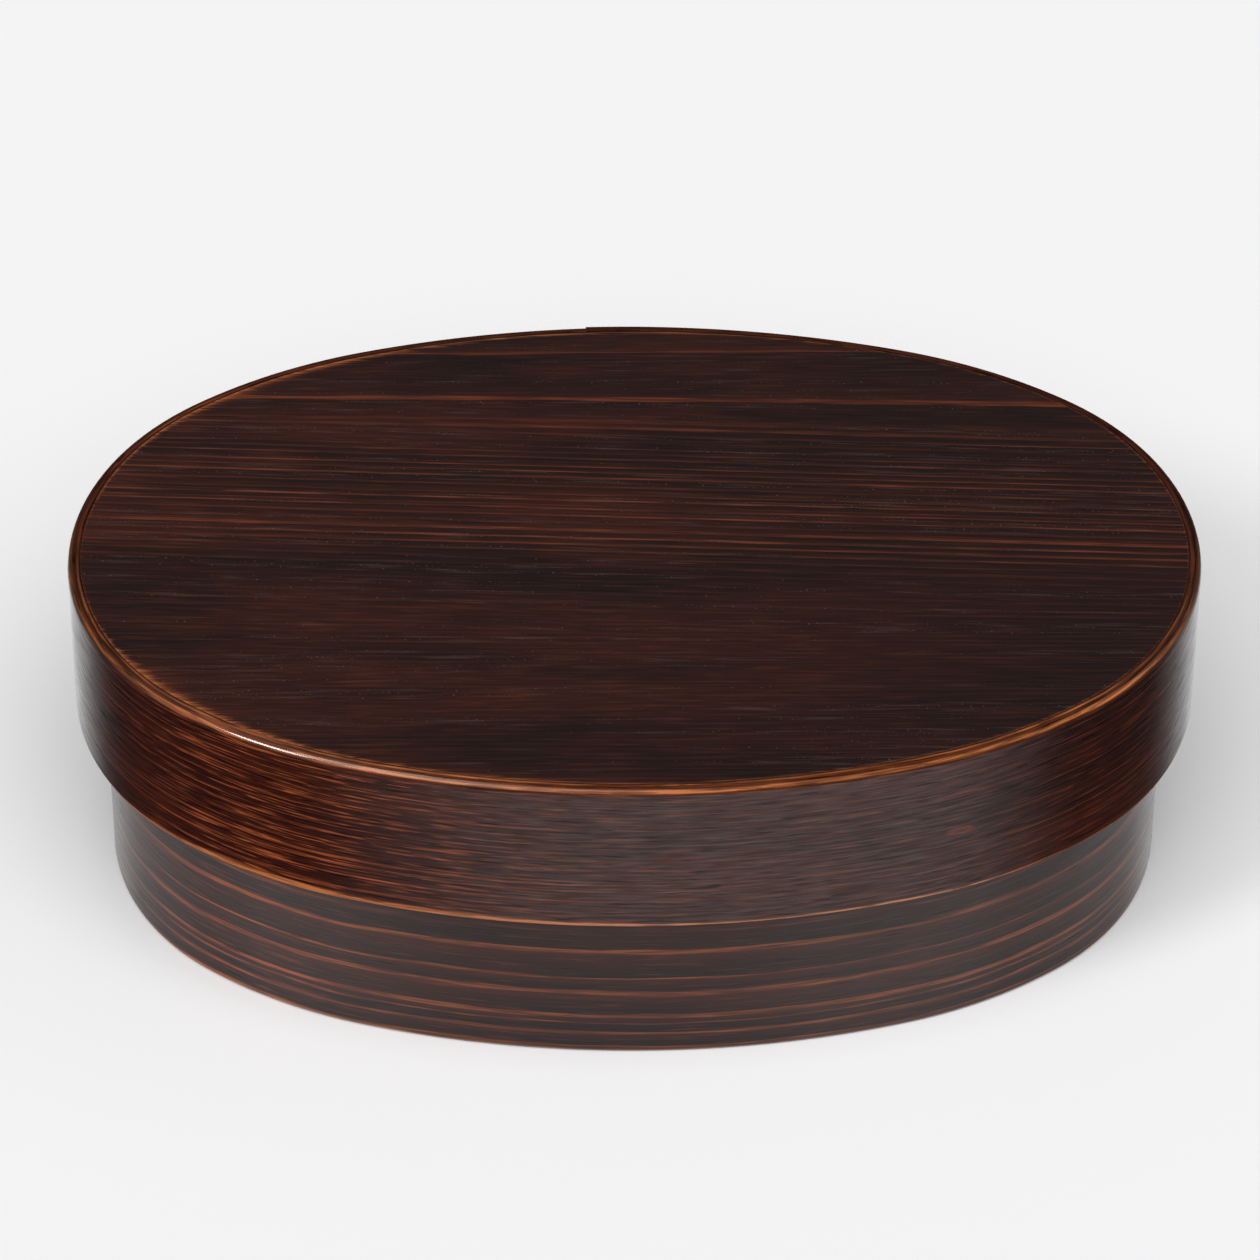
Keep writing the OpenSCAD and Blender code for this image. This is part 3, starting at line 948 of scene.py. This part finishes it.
def makeSeam(name, seam):
    band, tail = seam["band"], bark["tail"]
    angle = math.pi / 2 - math.asin(seam["x"] / sideRadius)
    sunk = bark["thick"] / 2 - bark["proud"]  # from the wood's face to the middle of the strip
    outFace = sideRadius - band["inset"] + lapLift(angle) - sunk
    inFace = sideRadius - band["inset"] - band["wall"] + sunk
    slits = np.linspace(seam["low"] + bark["margin"], seam["high"] - bark["margin"], seam["slits"])
    walk = [(inFace, slits[0] - tail)]
    for i, z in enumerate(slits):
        through = [(inFace, z), (outFace, z)]
        walk += through if i % 2 == 0 else reversed(through)
    walk.append((inFace, slits[-1] + tail))
    points = [(*(sideCentre + reach * unit(angle)), z) for reach, z in walk]
    obj = linkNew(name, loopMesh(name + "Path", points, closed=False))
    sideways = (math.sin(angle), -math.cos(angle), 0.0)
    mesh = bakeTree(obj, barkTree, {"Width": bark["width"], "Thickness": bark["thick"], "Bend": bark["bend"],
                                    "Corner": bark["corner"], "Sideways": sideways, "Finish": barkFinish})
    pos = positions(mesh)
    across = pos @ np.array(sideways, np.float32)
    store(mesh, "grain", np.c_[across, readFloat(mesh, "along"), pos[:, 1]])
    finishMesh(mesh)
    return obj


lidBark = makeSeam("lidBarkStitch", lidSeam)
bodyBark = makeSeam("bodyBarkStitch", bodySeam)

# loose divider standing across the box
dividerBoard = dict(x=24 * mm, thick=3.2 * mm, half=46.947 * mm, low=4 * mm, high=47 * mm, corner=4 * mm,
                    cornerSteps=9, foot=1.5 * mm, ease=0.8 * mm, easeSteps=4, sharpFrom=0.8, wear=0.5)


def makeDivider(name, board, finish):
    half, low, high, foot, corner = (board[key] for key in ("half", "low", "high", "foot", "corner"))
    outline = [(foot - half, low), (half - foot, low), (half, low + foot)]
    outline += cornerArc(half - corner, high - corner, corner, 0, 90, board["cornerSteps"])
    outline += cornerArc(corner - half, high - corner, corner, 90, 180, board["cornerSteps"])
    outline.append((-half, low + foot))
    mesh = bpy.data.meshes.new(name)
    bm = bmesh.new()
    face = bm.faces.new([bm.verts.new((board["x"] - board["thick"] / 2, y, z)) for y, z in outline])
    grown = bmesh.ops.extrude_face_region(bm, geom=[face])["geom"]
    moved = [part for part in grown if isinstance(part, bmesh.types.BMVert)]
    bmesh.ops.translate(bm, verts=moved, vec=(board["thick"], 0, 0))
    bmesh.ops.recalc_face_normals(bm, faces=bm.faces)
    # the edges above the foot are eased
    sharp = [edge for edge in bm.edges if edge.calc_face_angle() > board["sharpFrom"]
             and min(vert.co.z for vert in edge.verts) > low + foot / 2]
    bmesh.ops.bevel(bm, geom=sharp, offset=board["ease"], segments=board["easeSteps"], profile=0.5,
                    affect="EDGES", clamp_overlap=True)
    bm.to_mesh(mesh)
    bm.free()
    pos = positions(mesh)
    store(mesh, "grain", np.c_[pos[:, 1], -pos[:, 2], pos[:, 0]])
    store(mesh, "wear", np.full(len(pos), board["wear"]))
    store(mesh, "edge", np.minimum(high - pos[:, 2], half - np.abs(pos[:, 1])))
    mesh.materials.append(finish)
    finishMesh(mesh)
    return linkNew(name, mesh)


divider = makeDivider("dividerBoard", dividerBoard, dividerFinish)

for piece, node, body, slot in (
        (lidSide, "lid_band", "lid", "band_lacquer"), (lidBoard, "lid_board", "lid", "board_lacquer"),
        (lidBark, "lid_bark_stitch", "lid", "bark"), (bodySide, "body_band", "box", "band_lacquer"),
        (bottomBoard, "bottom_board", "box", "board_lacquer"), (bodyBark, "body_bark_stitch", "box", "bark"),
        (divider, "divider", "divider", "divider_lacquer")):
    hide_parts(node)
    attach(piece, body)
print("pieces placed")

# pale floor, soft light and the camera; a lamp has where it shines from, its width in degrees and strength
studio = dict(floorTone=(0.90, 0.90, 0.905), floorReach=8.0, floorRough=0.9, floorSheen=0.2,
              lamps=dict(overhead=((0.0, -0.55, 1.0), 60, 2.48), leftFront=((-0.61, -0.43, 0.667), 15, 0.7),
                         rightSide=((0.75, -0.2, 0.6), 50, 0.26)),
              worldTone=(0.12, 0.12, 0.123))
shot = dict(azimuth=-0.754, elevation=40.925, roll=0.267, distance=1.0772, lens=188.29, sensor=36,
            clip=(0.01, 50), target=(-0.51 * mm, 14.9 * mm, 30.0 * mm))


def makeFloor():
    mesh = bpy.data.meshes.new("floor")
    reach = studio["floorReach"]
    corners = [(-reach, -reach, 0), (reach, -reach, 0), (reach, reach, 0), (-reach, reach, 0)]
    mesh.from_pydata(corners, [], [(0, 1, 2, 3)])
    mat = bpy.data.materials.new("floorPaper")
    mat.use_nodes = True
    setInputs(mat.node_tree.nodes["Principled BSDF"],
              **{"Base Color": (*studio["floorTone"], 1.0), "Roughness": studio["floorRough"],
                 "Specular IOR Level": studio["floorSheen"]})
    mesh.materials.append(mat)
    floor = linkNew("floor", mesh)


def makeLight():
    for name, (source, wide, strength) in studio["lamps"].items():
        lamp = bpy.data.lights.new(name, "SUN")
        lamp.energy = strength
        lamp.angle = math.radians(wide)
        obj = linkNew(name, lamp)
        obj.rotation_mode = "QUATERNION"
        obj.rotation_quaternion = Vector(source).to_track_quat("Z", "Y")
    world = bpy.data.worlds.new("studioWorld")
    world.use_nodes = True
    setInputs(world.node_tree.nodes["Background"], Color=(*studio["worldTone"], 1.0), Strength=1.0)
    bpy.context.scene.world = world


def makeCamera():
    turn, lift, roll = (math.radians(shot[key]) for key in ("azimuth", "elevation", "roll"))
    back = Vector((math.sin(turn) * math.cos(lift), -math.cos(turn) * math.cos(lift), math.sin(lift)))
    level = Vector((math.cos(turn), math.sin(turn), 0))
    upright = back.cross(level)
    right = level * math.cos(roll) + upright * math.sin(roll)
    up = upright * math.cos(roll) - level * math.sin(roll)
    data = bpy.data.cameras.new("photoCamera")
    data.sensor_width, data.lens = shot["sensor"], shot["lens"]
    data.clip_start, data.clip_end = shot["clip"]
    camera = linkNew("photoCamera", data)
    axes = Matrix((right, up, back)).transposed().to_4x4()
    camera.matrix_world = Matrix.Translation(Vector(shot["target"]) + back * shot["distance"]) @ axes
    bpy.context.scene.camera = camera


makeFloor()
makeLight()
makeCamera()
bpy.context.scene.view_settings.view_transform = "Standard"
print("studio ready")
